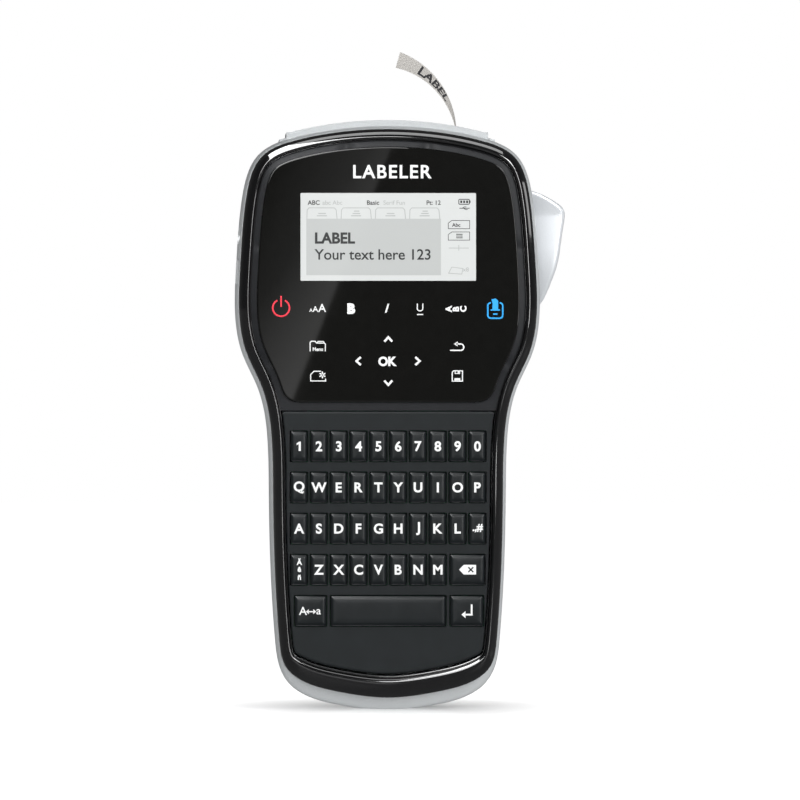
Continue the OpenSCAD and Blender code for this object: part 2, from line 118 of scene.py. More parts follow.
def add_camera():
    """Camera in front of the face, a little to the left, framed on a square picture."""
    aim = world((4.0, SHEET_Y, 105.9))
    data = bpy.data.cameras.new("camera")
    data.sensor_width = 36
    data.lens = data.sensor_width * CAMERA_DISTANCE / FRAME_WIDTH
    cam = in_scene("camera", data)
    back = Vector((math.sin(CAMERA_TURN), -math.cos(CAMERA_TURN), 0))
    cam.location = aim + back * CAMERA_DISTANCE
    cam.rotation_mode = "QUATERNION"
    cam.rotation_quaternion = (-back).to_track_quat("-Z", "Y")
    scene.camera = cam
    return cam


def emitter(name, corners, shares, strength):
    """A flat lamp through world-space corners in metres, seen only in reflections.

    shares are the parts of its strength that it has at its corners, fading in between.
    """
    mesh = bpy.data.meshes.new(name)
    mesh.from_pydata(corners, [], [list(range(len(corners)))])
    mesh.attributes.new("share", "FLOAT", "POINT").data.foreach_set("value", shares)
    mat, tree, _ = new_material(name)
    tree.nodes.clear()
    share = add_node(tree, "Attribute", attribute_name="share")
    scale = add_node(tree, "MapRange", {"Value": share.outputs["Fac"], "To Max": strength})
    glow = add_node(tree, "Emission", {"Strength": scale.outputs[0]})
    add_node(tree, "OutputMaterial", {"Surface": glow.outputs[0]})
    mesh.materials.append(mat)
    obj = in_scene(name, mesh)
    obj.visible_camera = False
    obj.visible_shadow = False


def area_light(name, place, size, size_y, radiance, target=(0, 0, 0.15), along=(0, 0, 1)):
    """A rectangular lamp of even radiance at place, facing target, in metres.

    Its size_y side runs as near as possible to along.
    """
    data = bpy.data.lights.new(name, "AREA")
    data.shape = "RECTANGLE"
    data.size = size
    data.size_y = size_y
    data.energy = math.pi * size * size_y * radiance
    lamp = in_scene(name, data)
    back = (Vector(place) - Vector(target)).normalized()
    up = (Vector(along) - back * back.dot(Vector(along))).normalized()
    side = up.cross(back)
    turn = Matrix((side, up, back)).transposed().to_4x4()
    lamp.matrix_world = Matrix.Translation(place) @ turn
    return lamp


def add_world():
    """White room to the camera, dim all round for reflections, brighter behind."""
    room = bpy.data.worlds.new("room")
    scene.world = room
    room.use_nodes = True
    tree = room.node_tree
    tree.nodes.clear()
    place = add_node(tree, "TexCoord")
    split = add_node(tree, "SeparateXYZ", {0: place.outputs["Generated"]})
    behind = add_node(tree, "MapRange", {
        "Value": split.outputs["Y"], "From Min": -0.25, "From Max": 0.5, "To Min": 0.03, "To Max": 0.08,
    })
    fill = add_node(tree, "Background", {"Color": behind.outputs[0], "Strength": 1})
    seen = add_node(tree, "Background", {"Color": (1, 1, 1, 1)})
    ray = add_node(tree, "LightPath")
    mix = add_node(tree, "MixShader", {
        "Fac": ray.outputs["Is Camera Ray"], 1: fill.outputs[0], 2: seen.outputs[0],
    })
    add_node(tree, "OutputWorld", {"Surface": mix.outputs[0]})


def add_floor():
    """Large white floor with a faint gloss.

    To diffuse rays it glows evenly; to the camera its glow dims in a patch under the printer,
    a painted contact shadow. It is white to the camera, and dim to the glossy plastic that mirrors it.
    """
    half = 6.0
    mirrored = 0.08
    corners = [(-half, -half, 0), (half, -half, 0), (half, half, 0), (-half, half, 0)]
    mesh = bpy.data.meshes.new("floor")
    mesh.from_pydata(corners, [], [(0, 1, 2, 3)])
    floor = in_scene("floor", mesh)
    mat, tree, shader = new_material("floor")
    place = add_node(tree, "TexCoord")
    squeeze = add_node(tree, "Mapping", {"Vector": place.outputs["Object"], "Scale": (1.8, 1, 1)})
    far = add_node(tree, "VectorMath", {0: squeeze.outputs["Vector"]}, operation="LENGTH")
    # the glow dims towards the printer's foot: a painted contact shadow, which only the camera sees
    glow = add_node(tree, "MapRange", {
        "Value": far.outputs["Value"], "From Min": 0.02, "From Max": 0.12, "To Min": 0.2, "To Max": 0.95,
    })
    ray = add_node(tree, "LightPath")

    def by_ray(kind, otherwise, hit, share=1):
        """One value for a kind of ray and another for the rest, times share."""
        pick = add_node(tree, "MapRange", {"Value": ray.outputs[kind], "To Min": otherwise, "To Max": hit})
        return add_node(tree, "Math", {0: share, 1: pick.outputs[0]}, operation="MULTIPLY").outputs[0]

    paint = by_ray("Is Camera Ray", 0.25, 0.85)
    # the camera gets the glow with its painted shadow; other rays get an even glow
    light = by_ray("Is Camera Ray", 1, glow.outputs[0])
    feed(tree, shader, {
        "Roughness": 0.15,
        "IOR": 1.10,
        "Base Color": by_ray("Is Glossy Ray", 1, mirrored, paint),
        "Emission Color": (1, 1, 1, 1),
        "Emission Strength": by_ray("Is Glossy Ray", 1, mirrored, light),
    })
    mesh.materials.append(mat)


scene.view_settings.view_transform = "Standard"
camera = add_camera()
add_world()
add_floor()

# The camera meets the flat front sheet almost square on, so the sheet mirrors what stands in
# front of it. This card's slanted right edge is the diagonal across the sheet.
CARD_Y = -1.5


def in_card(x, z):
    """Where the card shows in the front sheet at face point (x, z), in metres."""
    p, eye = world((x, SHEET_Y, z)), camera.location
    reach = (p.y - CARD_Y) / (p.y - eye.y)
    return (p.x + (p.x - eye.x) * reach, CARD_Y, p.z + (p.z - eye.z) * reach)


card = [in_card(x, z) for x, z in ((9.9, 215), (-40.9, 85), (-73, 98), (-22.2, 228))]
emitter("card_left", card, [0.35, 1.05, 0, 0], 1.45)
# A long softbox from high in front to the upper left burns the highlight into the crown's
# corner; it only makes highlights, so that the head casts no shadow of it on the lever
corner_left = area_light(
    "corner_left", (-0.38, -0.55, 0.98), 0.42, 1.25, 12, target=(-0.03, 0, 0.19), along=(0.30, -0.87, -0.45)
)
corner_left.visible_diffuse = False
area_light("sky_box", (0.10, -0.25, 1.25), 1.1, 0.5, 2.4, along=(0, 1, -0.3))
area_light("key_right", (0.85, -1.2, 0.95), 0.5, 0.5, 12)
area_light("strip_right", (0.75, -0.95, 0.30), 0.25, 0.5, 9)
area_light("side_right", (1.3, -0.1, 0.40), 0.5, 0.25, 2)
area_light("fill_front", (-0.35, -2.2, 0.80), 0.9, 0.7, 7)


# ---- Materials ----


def material(
    name, colour, rough, metallic=0.0, coat=0.0, coat_rough=0.04, ior=1.5,
    mottle=(300, 0.08), grain=(5000, 6e-6), rough_spread=0.05, emission=0.0,
):
    """Principled material with mottled colour, uneven roughness and a fine surface grain.

    mottle is the noise scale per metre and the share by which the colour varies; grain is the
    noise scale and the depth of the bump in metres.
    """
    mat, tree, shader = new_material(name)
    place = add_node(tree, "TexCoord").outputs["Object"]
    cloud = add_node(tree, "TexNoise", {"Scale": mottle[0], "Detail": 4, "Vector": place}).outputs["Fac"]
    tint = add_node(tree, "ValToRGB", {"Fac": cloud})
    for stop, at, share in zip(tint.color_ramp.elements, (0.3, 0.7), (1 - mottle[1], 1 + mottle[1])):
        stop.position = at
        stop.color = (*(c * share for c in colour), 1)
    low, high = max(0.0, rough - rough_spread), min(1.0, rough + rough_spread)
    spread = add_node(tree, "MapRange", {"Value": cloud, "To Min": low, "To Max": high})
    fine = add_node(tree, "TexNoise", {"Scale": grain[0], "Detail": 2, "Vector": place}).outputs["Fac"]
    bump = add_node(tree, "Bump", {"Strength": 1, "Distance": grain[1], "Height": fine})
    feed(tree, shader, {
        "Metallic": metallic,
        "Coat Weight": coat,
        "Coat Roughness": coat_rough,
        "IOR": ior,
        "Base Color": tint.outputs["Color"],
        "Roughness": spread.outputs[0],
        "Normal": bump.outputs[0],
    })
    # emission gives the surface a glow of its own: painted light
    if emission:
        feed(tree, shader, {"Emission Color": (*colour, 1), "Emission Strength": emission})
    return mat


GLOSS_BLACK = material(
    "gloss_black", (0.0055, 0.0055, 0.006), 0.07, ior=1.75, coat=1.0, grain=(260, 1.5e-6),
    rough_spread=0.02,
)
SHEET_BLACK = material(
    "sheet_black", (0.0065, 0.0065, 0.006), 0.02, ior=1.45, grain=(120, 1e-7), rough_spread=0.005
)
RIM_GREY = material("rim_grey", (0.0125, 0.0135, 0.0158), 0.42, ior=1.3, grain=(9000, 5e-6))
MAT_RUBBER = material(
    "mat_rubber", (0.0078, 0.0106, 0.0120), 0.55, ior=1.3, grain=(9000, 6e-6), mottle=(180, 0.10)
)
KEY_RUBBER = material(
    "key_rubber", (0.0062, 0.0086, 0.0100), 0.35, ior=1.42, grain=(9000, 5e-6), mottle=(220, 0.10)
)
INK_WHITE = material("ink_white", (0.82, 0.83, 0.83), 0.45, mottle=(2500, 0.03))
# The red and blue inks also glow a little of themselves: painted light, as they are only printed and no lamp
INK_RED = material("ink_red", (0.80, 0.018, 0.045), 0.4, mottle=(2500, 0.04), emission=0.12)
INK_BLUE = material("ink_blue", (0.004, 0.34, 0.80), 0.4, mottle=(2500, 0.04), emission=0.12)
SILVER = material(
    "silver_paint", (0.53, 0.55, 0.56), 0.36, metallic=0.2, coat=0.15, coat_rough=0.2,
    mottle=(7000, 0.10), grain=(11000, 4e-6),
)
LEVER_SILVER = material(
    "lever_silver", (0.76, 0.79, 0.82), 0.34, metallic=0.4, coat=0.2, coat_rough=0.15,
    mottle=(7000, 0.07), grain=(11000, 3e-6),
)
LCD_PALE = material("lcd_pale", (0.62, 0.637, 0.63), 0.35, coat=0.9, mottle=(3000, 0.012))
LCD_GREY = material("lcd_grey", (0.472, 0.488, 0.482), 0.35, coat=0.9, mottle=(5200, 0.03))
LCD_INK = material("lcd_ink", (0.014, 0.016, 0.016), 0.4, coat=0.5)
LCD_FAINT = material("lcd_faint", (0.38, 0.395, 0.39), 0.4, coat=0.9)
TAPE = material("tape", (0.58, 0.56, 0.53), 0.45, mottle=(900, 0.03), grain=(2500, 8e-7))
TAPE_INK = material("tape_ink", (0.04, 0.04, 0.044), 0.5, mottle=(3000, 0.2), grain=(2500, 8e-7))
DARK_PLASTIC = material("dark_plastic", (0.018, 0.018, 0.020), 0.5, grain=(7000, 8e-6))
WRAP = material("battery_wrap", (0.02, 0.06, 0.14), 0.35, coat=0.3)
BOARD = material("board", (0.012, 0.11, 0.045), 0.35, coat=0.4, mottle=(220, 0.35))
DIE_CAST = material("die_cast", (0.42, 0.43, 0.45), 0.42, metallic=0.9, grain=(2500, 1e-5))
BRASS = material("brass", (0.72, 0.52, 0.24), 0.28, metallic=1.0)
STEEL = material("steel", (0.58, 0.58, 0.60), 0.25, metallic=1.0, grain=(3000, 3e-6))
ZINC = material("zinc", (0.52, 0.53, 0.55), 0.38, metallic=1.0, grain=(4000, 5e-6))
PLATEN = material("platen", (0.03, 0.03, 0.032), 0.6)
CASSETTE = material("cassette", (0.045, 0.047, 0.05), 0.5, grain=(5000, 1e-5))


# ---- Mesh helpers ----


class Shape:
    """Points, faces and each face's material, gathered before they become one mesh."""

    def __init__(self):
        self.points, self.faces, self.finish = [], [], []

    def add(self, points, faces, finish=0):
        first = len(self.points)
        self.points += [tuple(float(c) for c in p) for p in points]
        self.faces += [[first + int(i) for i in f] for f in faces]
        self.finish += [finish] * len(faces)
        return self

    def loft(self, rings, finish=0, caps=True, tube=False):
        """Skin over closed rings of equal length; tube joins the last ring to the first."""
        count, n = len(rings), len(rings[0])
        faces = []
        for k in range(count if tube else count - 1):
            a, b = k * n, ((k + 1) % count) * n
            faces += [[a + i, a + (i + 1) % n, b + (i + 1) % n, b + i] for i in range(n)]
        if caps and not tube:
            faces.append(list(range(n))[::-1])
            faces.append([(count - 1) * n + i for i in range(n)])
        return self.add([p for r in rings for p in r], faces, finish)

    def plate(self, outline, y_front, y_back, finish=0):
        """Flat plate from a face-on outline of (x, z) points."""
        return self.loft([[(x, y, z) for x, z in outline] for y in (y_front, y_back)], finish)

    def ribbon(self, line, width, y_front, y_back, finish=0, closed=False):
        """A stroke of even width along a face-on line of (x, z) points."""
        line = np.array(line, float)
        if closed:
            ahead, behind = np.roll(line, -1, 0) - line, line - np.roll(line, 1, 0)
        else:
            step = np.diff(line, axis=0)
            ahead, behind = np.vstack([step, step[-1]]), np.vstack([step[0], step])
        unit = lambda v: v / np.linalg.norm(v, axis=1, keepdims=True)
        ahead, behind = unit(ahead), unit(behind)
        middle = unit(ahead + behind)
        side = np.column_stack([-middle[:, 1], middle[:, 0]])
        share = np.clip(np.sum(side * np.column_stack([-ahead[:, 1], ahead[:, 0]]), 1), 0.4, 1)
        half = side * (width / 2 / share)[:, None]
        left, right = line + half, line - half
        rings = [
            [(a, y_front, b), (c, y_front, d), (c, y_back, d), (a, y_back, b)]
            for (a, b), (c, d) in zip(left, right)
        ]
        return self.loft(rings, finish, tube=closed)

    def text(self, words, height, at, y_front, thick, bold=0.0, turn=0.0, slant=0.0,
             stretch=1.0, finish=0, spacing=1.0):
        """Generic lettering centred on at = (x, z), with capitals of the given height."""
        points, faces = lettering(words, bold, slant, spacing)
        flat = points[:, :2] * height
        flat[:, 0] *= stretch
        flat -= (flat.max(0) + flat.min(0)) / 2
        c, s = math.cos(turn), math.sin(turn)
        x = flat[:, 0] * c - flat[:, 1] * s + at[0]
        z = flat[:, 0] * s + flat[:, 1] * c + at[1]
        y = np.where(points[:, 2] > 0, y_front, y_front + thick)
        return self.add(np.column_stack([x, y, z]), faces, finish)


def letter_mesh(words, bold, slant, spacing):
    """Points and faces of a word in Blender's built-in font, at its own size."""
    curve = bpy.data.curves.new("words", "FONT")
    curve.body = words
    curve.extrude = 0.05
    curve.offset = bold
    curve.shear = slant
    curve.space_character = spacing
    curve.resolution_u = 6
    obj = in_scene("words", curve)
    mesh = obj.to_mesh(depsgraph=bpy.context.evaluated_depsgraph_get())
    points = np.array([v.co for v in mesh.vertices])
    faces = [list(p.vertices) for p in mesh.polygons]
    obj.to_mesh_clear()
    bpy.data.objects.remove(obj)
    bpy.data.curves.remove(curve)
    return points, faces


CAP_HEIGHT = np.ptp(letter_mesh("H", 0, 0, 1)[0][:, 1])


def lettering(words, bold=0.0, slant=0.0, spacing=1.0):
    """The word scaled so that a capital is 1 high."""
    points, faces = letter_mesh(words, bold, slant, spacing)
    return points / CAP_HEIGHT, faces


def shape_mesh(name, shape, sharp):
    """A Shape as a mesh with outward normals and crisp sharp edges."""
    mesh = bpy.data.meshes.new(name)
    mesh.from_pydata([world(p) for p in shape.points], [], shape.faces)
    mesh.polygons.foreach_set("material_index", shape.finish)
    tidy(mesh, sharp)
    return mesh


def piece(name, shape, materials, body="body", nodes=(), sharp=40):
    """Makes a Shape a visible piece that rides on a body and may stand for CAD nodes."""
    obj = in_scene(name, shape_mesh(name, shape, sharp))
    for m in materials:
        obj.data.materials.append(m)
    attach(obj, body)
    if nodes:
        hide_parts(*nodes)
    return obj


def tidy(mesh, sharp):
    """Welds doubles, turns normals outwards and marks edges sharper than an angle."""
    bm = bmesh.new()
    bm.from_mesh(mesh)
    bmesh.ops.remove_doubles(bm, verts=bm.verts, dist=1e-6)
    bmesh.ops.recalc_face_normals(bm, faces=bm.faces)
    bm.to_mesh(mesh)
    bm.free()
    mesh.shade_smooth()
    mesh.set_sharp_from_angle(angle=math.radians(sharp))


def combine(obj, shape, operation, sharp=40):
    """Joins an object with the solids of a Shape, or cuts them out of it."""
    tool = in_scene("tool", shape_mesh("tool", shape, sharp))
    mod = obj.modifiers.new("combine", "BOOLEAN")
    mod.operation = operation
    mod.solver = "EXACT"
    mod.use_self = operation == "UNION"
    mod.object = tool
    bpy.context.view_layer.update()
    result = obj.evaluated_get(bpy.context.evaluated_depsgraph_get())
    mesh = bpy.data.meshes.new_from_object(result)
    obj.modifiers.clear()
    obj.data = mesh
    bpy.data.objects.remove(tool)
    tidy(mesh, sharp)


def soften(obj, width, angle=35):
    """Rounds an object's edges that are sharper than an angle by width millimetres."""
    bevel = obj.modifiers.new("edges", "BEVEL")
    bevel.width = width * MM
    bevel.segments = 2
    bevel.limit_method = "ANGLE"
    bevel.angle_limit = math.radians(angle)
    bevel.harden_normals = True


def arc(cx, cz, r, start, end, steps):
    """Face-on arc from one angle to another, in degrees from +x towards +z."""
    turns = [math.radians(start + (end - start) * i / steps) for i in range(steps + 1)]
    return [(cx + r * math.cos(a), cz + r * math.sin(a)) for a in turns]


def circle(cx, cz, r, count=32):
    return arc(cx, cz, r, 0, 360, count)[:-1]


def box_line(x0, z0, x1, z1):
    return [(x0, z0), (x1, z0), (x1, z1), (x0, z1)]


def round_rect(x0, z0, x1, z1, r, steps=6):
    """Face-on outline of a rectangle with round corners, counter-clockwise."""
    middles = box_line(x0 + r, z0 + r, x1 - r, z1 - r)
    out = []
    for k in range(4):
        out += arc(*middles[k - 2], r, 90 * k, 90 * k + 90, steps)
    return out


def spline(knots, samples, closed=True):
    """Smooth cubic spline through knots, parametrised by the chord between them."""
    knots = np.array(knots, float)
    n = len(knots)
    ring = np.vstack([knots, knots[:1]]) if closed else knots
    step = np.linalg.norm(np.diff(ring, axis=0), axis=1) ** 0.6
    # bend at each knot, none at the ends of an open line
    a, b = np.eye(n), np.zeros((n, knots.shape[1]))
    for i in range(n) if closed else range(1, n - 1):
        h0, h1 = step[i - 1], step[i]
        a[i, [i - 1, i, (i + 1) % n]] = h0, 2 * (h0 + h1), h1
        b[i] = 6 * ((ring[i + 1] - knots[i]) / h1 - (knots[i] - knots[i - 1]) / h0)
    curve = np.linalg.solve(a, b)
    if closed:
        curve = np.vstack([curve, curve[:1]])
    start = np.concatenate([[0], np.cumsum(step)])
    at = np.linspace(0, start[-1], samples * 8 + 1)
    which = np.clip(np.searchsorted(start, at, side="right") - 1, 0, len(step) - 1)
    h = step[which][:, None]
    u = (at - start[which])[:, None] / h
    p0, p1, m0, m1 = ring[which], ring[which + 1], curve[which], curve[which + 1]
    fine = (1 - u) * p0 + u * p1 + h * h / 6 * (((1 - u) ** 3 - (1 - u)) * m0 + (u**3 - u) * m1)
    # even steps along the curve
    run = np.concatenate([[0], np.cumsum(np.linalg.norm(np.diff(fine, axis=0), axis=1))])
    places = np.linspace(0, run[-1], samples + 1)
    even = np.column_stack([np.interp(places, run, fine[:, k]) for k in range(fine.shape[1])])
    return even[:-1] if closed else even


# ---- Outline of the face ----

HEAD_HALF, GRIP_HALF = 50.9, 39.3
TOP, FOOT = 198.6, 4.1
SIDE_SWELL, FOOT_SWELL = 1.3, 4.9
WAIST_Z, FOOT_BLEND = 80.0, 30.0
BAND, RIM = 4.1, 2.1
FOOT_SHARE = 1.85
RING = 288

right_edge = [
    (0, FOOT),
    (0.415 * GRIP_HALF, FOOT + 1.9),
    (0.71 * GRIP_HALF, FOOT + 5.1),
    (0.89 * GRIP_HALF, FOOT + 10.6),
    (0.947 * GRIP_HALF, FOOT + 20),
    (0.982 * GRIP_HALF, 45),
    (GRIP_HALF, 72),
    (1.022 * GRIP_HALF, 97),
    (0.855 * HEAD_HALF, 111.3),
    (0.953 * HEAD_HALF, 122.3),
    (HEAD_HALF, 135.5),
    (0.992 * HEAD_HALF, 153),
    (0.955 * HEAD_HALF, 174.5),
    (0.855 * HEAD_HALF, TOP - 9.8),
    (0.63 * HEAD_HALF, TOP - 4),
    (0.322 * HEAD_HALF, TOP - 1),
    (0, TOP),
]
EDGE = spline(right_edge + [(-x, z) for x, z in right_edge[-2:0:-1]], RING)
along = np.roll(EDGE, -1, 0) - np.roll(EDGE, 1, 0)
OUTWARD = np.column_stack([along[:, 1], -along[:, 0]]) / np.linalg.norm(along, axis=1)[:, None]


def outline(side, foot):
    """The face's edge moved outwards by side, but down by foot at the foot, never into the floor."""
    low = np.clip((WAIST_Z - EDGE[:, 1]) / FOOT_BLEND, 0, 1)
    drop = np.minimum(0, OUTWARD[:, 1]) * (foot - side) * low
    line = EDGE + OUTWARD * side + np.column_stack([np.zeros(RING), drop])
    return np.column_stack([line[:, 0], np.maximum(line[:, 1], 0.02)])


def inset(d):
    return outline(-d, -FOOT_SHARE * d)


def at_depth(points, y):
    return [(x, y, z) for x, z in points]


def half_width(points, z):
    """Right-hand x of an outline at height z."""
    right = points[points[:, 0] > 0]
    order = np.argsort(right[:, 1])
    return float(np.interp(z, right[order, 1], right[order, 0]))


# ---- Front bezel, rim and display window ----


def make_bezel():
    """Glossy crowned band with a fine bead along its inner edge."""
    crown = [(0, -5.0), (0.12, -5.9), (0.5, -6.75), (1.1, -7.5), (1.8, -8.1), (2.45, -8.48), (2.9, -8.6),
             (3.3, -8.4), (3.52, -7.95), (3.6, -7.4)]
    bead = [(3.64, -7.35), (3.72, -7.62), (3.87, -7.74), (4.02, -7.64), (4.1, -7.3)]
    section = [(0, -0.2), *spline(crown, 28, closed=False), *spline(bead, 8, closed=False),
               (BAND, -6.0), (BAND - 0.6, -4.4), (0.7, -4.4), (0.7, -0.2)]
    rings = [at_depth(inset(u), y) for u, y in section]
    piece("bezel", Shape().loft(rings, tube=True), [GLOSS_BLACK], nodes=["front_bezel"],
          sharp=50)
    # dark seam between bezel and shell
    seam = [at_depth(outline(-d, -d), y) for d, y in ((0.35, -1), (0.35, 1.5), (1.2, 1.5), (1.2, -1))]
    piece("seam", Shape().loft(seam, tube=True), [DARK_PLASTIC])


def above(line, z0):
    """The points of an outline above z0, from its lower right end round to its lower left one."""
    keep = [tuple(p) for p in line if p[1] > z0]
    start = max(range(len(keep)), key=lambda i: keep[i][0] - 10 * keep[i][1])
    return keep[start:] + keep[:start]


def lower_rounded(line, z0, r, steps=8):
    """The part of an outline above z0, with its lower corners rounded by r."""
    x0 = half_width(line, z0)
    side = np.array([half_width(line, z0 + r), z0 + r])
    corner, base = np.array([x0, z0]), np.array([x0 - r, z0])
    bend = [
        tuple((1 - t) ** 2 * base + 2 * t * (1 - t) * corner + t * t * side)
        for t in np.linspace(0, 1, steps + 1)
    ]
    return bend + above(line, z0 + r) + [(-x, z) for x, z in bend[::-1]]


def upper_part(line, z0):
    """The part of an outline above z0, closed by a straight lower edge."""
    x0 = half_width(line, z0)
    return [(x0, z0), *above(line, z0 + 0.3), (-x0, z0)]


WINDOW_FOOT = 105.2
SHEET_BACK = -5.9
RIM_Y, RIM_BACK, RIM_RISE = -7.0, -5.8, 0.6


def shrink(line, d):
    """A closed outline moved inwards by d."""
    line = np.array(line)
    t = np.roll(line, -1, 0) - np.roll(line, 1, 0)
    n = np.column_stack([-t[:, 1], t[:, 0]]) / np.linalg.norm(t, axis=1)[:, None]
    return line + n * d


# lower left and upper right corner of the screen, in x and z
LCD = (-30.0, 146.6, 30.0, 176.6)


def flat_cap(loops, y):
    """Triangles that fill the area between an outer loop and its holes, at one depth."""
    bm = bmesh.new()
    for loop in loops:
        verts = [bm.verts.new((x, y, z)) for x, z in loop]
        for a, b in zip(verts, verts[1:] + verts[:1]):
            bm.edges.new((a, b))
    bmesh.ops.triangle_fill(bm, use_beauty=True, edges=bm.edges, normal=(0, -1, 0))
    bm.verts.index_update()
    points = [tuple(v.co) for v in bm.verts]
    faces = [[v.index for v in f.verts] for f in bm.faces]
    bm.free()
    return points, faces


def rim_front(z):
    """Depth of the rim's inner edge, which rises out of the mat's plane above the sheet's foot."""
    return RIM_Y - RIM_RISE * float(np.clip((z - WINDOW_FOOT - 1) / 14, 0, 1))


def make_window():
    """Glossy black front sheet, open over the screen, and the rim around it."""
    sheet = lower_rounded(inset(BAND + RIM), WINDOW_FOOT, 5.2)
    hole = round_rect(*LCD, 0.35, 3)
    shape = Shape()
    # the last two steps are level, so the sheet mirrors without a bend
    steps = [(0, SHEET_BACK), (0, SHEET_Y + 0.22), (0.06, SHEET_Y + 0.07), (0.2, SHEET_Y), (0.5, SHEET_Y)]
    shape.loft([at_depth(shrink(sheet, d), y) for d, y in steps], caps=False)
    shape.loft([at_depth(hole, y) for y in (SHEET_BACK, SHEET_Y)], caps=False)
    shape.add(*flat_cap([shrink(sheet, 0.5), hole], SHEET_Y))
    shape.add(*flat_cap([sheet, hole], SHEET_BACK))
    piece("front_sheet", shape, [SHEET_BLACK], nodes=["display_window"], sharp=30)
    outer = upper_part(inset(BAND - 0.1), MAT_TOP + 0.3)
    inner = shrink(sheet, -0.08)
    rim = Shape()
    points, faces = flat_cap([outer, inner], RIM_Y)
    near = {(round(x, 4), round(z, 4)) for x, z in inner}
    rim.add([(x, rim_front(z) if (round(x, 4), round(z, 4)) in near else y, z) for x, y, z in points], faces)
    rim.loft([at_depth(inner, RIM_BACK), [(x, rim_front(z), z) for x, z in inner]], caps=False)
    rim.loft([at_depth(outer, RIM_BACK), at_depth(outer, RIM_Y)], caps=False)
    rim.add(*flat_cap([outer, inner], RIM_BACK))
    piece("rim", rim, [RIM_GREY], sharp=35)


# ---- Screen ----


def make_screen():
    """Pale screen with a typed label, a status row, tabs and small pictograms."""
    x0, z0, x1, z1 = LCD
    typing, dark, faint = 1, 2, 3
    face_y, lip = SHEET_Y + 0.03, 0.02
    mark_y, mark_back = face_y - 0.02, face_y + 0.2
    s = Shape()

    def write(words, height, x, z, ink=dark, **look):
        s.text(words, height, (x, z), mark_y, 0.2, finish=ink, **look)

    def stroke(line, width, ink=dark, closed=False):
        s.ribbon(line, width, mark_y, mark_back, ink, closed)

    def stamp(outline, ink=dark):
        s.plate(outline, mark_y, mark_back, ink)

    s.plate(box_line(x0 + lip, z0 + lip, x1 - lip, z1 - lip), face_y, -5.0)
    # grey typing area
    area_x, area_top = x0 + 2.0, z0 + 21.2
    s.plate(box_line(area_x, z0 + 1.9, x0 + 48.0, area_top), mark_y + 0.01, mark_back, typing)
    write("LABEL", 3.5, x0 + 11.8, z0 + 14.6, bold=0.035, stretch=0.99)
    write("Your text here 123", 3.45, x0 + 24.6, z0 + 9.0, bold=0.012)
    # status row
    for words, x, ink, bold in (
        ("ABC", 4.5, dark, 0.02), ("abc Abc", 10.9, faint, 0), ("Basic", 24.8, dark, 0.02),
        ("Serif Fun", 32.0, faint, 0), ("Pt: 12", 45.5, dark, 0.015),
    ):
        write(words, 1.45, x0 + x, z1 - 3.3, ink, bold=bold)
    # battery
    bx, bz = x0 + 56.0, z1 - 3.0
    stroke(round_rect(bx - 1.9, bz - 0.85, bx + 1.7, bz + 0.85, 0.3, 2), 0.28, closed=True)
    for k in range(3):
        stamp(round_rect(bx - 1.4 + k, bz - 0.45, bx - 0.75 + k, bz + 0.45, 0.1, 2))
    stamp(round_rect(bx + 1.75, bz - 0.4, bx + 2.1, bz + 0.4, 0.1, 2))
    # plug sign
    stroke([(bx - 1.7, bz - 2.2), (bx + 1.8, bz - 2.2)], 0.25)
    stroke([(bx - 0.7, bz - 2.2), (bx - 0.1, bz - 1.75), (bx + 0.7, bz - 1.75)], 0.22)
    stroke([(bx - 0.2, bz - 2.2), (bx + 0.4, bz - 2.65), (bx + 1.1, bz - 2.65)], 0.22)
    # four tabs above the typing area
    tab = [(0, 0), (0.1, 3.0), (0.7, 3.7), (9.4, 3.7), (10.0, 3.0), (10.3, 0)]
    for k in range(4):
        left = area_x + 0.2 + k * 11.7
        stroke([(left + x, area_top + z) for x, z in tab], 0.22, faint)
        middle = left + 5.2
        for r in range(2 + k % 2):
            bar_z = area_top + 1.0 + 0.8 * r
            stroke([(middle - 1.8 + 0.5 * r, bar_z), (middle + 1.6 - 0.3 * r, bar_z)], 0.3, faint)
    # pictograms at the right: two tags and a cross
    px = x0 + 54.1
    tag = [(-3.6, -1.4), (3.7, -1.4), (3.7, 1.4), (-2.4, 1.4), (-3.6, 0.5)]
    upper, middle, lower = (z1 - 10.8 - 3.9 * k for k in range(3))
    stroke([(px + x, upper + z) for x, z in tag], 0.2, closed=True)
    write("Abc", 1.2, px - 0.9, upper - 0.1, bold=0.02)
    stroke([(px + x, middle + z) for x, z in tag], 0.2, closed=True)
    for r in (-0.6, 0, 0.6):
        stroke([(px - 0.9, middle + r), (px + 1.3, middle + r)], 0.28)
    stroke([(px - 3.4, lower - 0.2), (px + 3.4, lower - 0.2)], 0.2, faint)
    stroke([(px, lower + 0.9), (px, lower - 1.1)], 0.2, faint)
    # small tape and count below them
    tail = z0 + 3.6
    strip = [(px - 3.5, tail - 1), (px + 1.0, tail - 1.3), (px + 1.4, tail + 0.6), (px - 2.4, tail + 1.1)]
    stroke(strip, 0.2, faint, closed=True)
    write("x8", 1.4, px + 2.4, tail + 0.3, faint)
    piece("screen", s, [LCD_PALE, LCD_GREY, LCD_INK, LCD_FAINT], nodes=["lcd_panel"], sharp=30)


# ---- Printed touch symbols ----


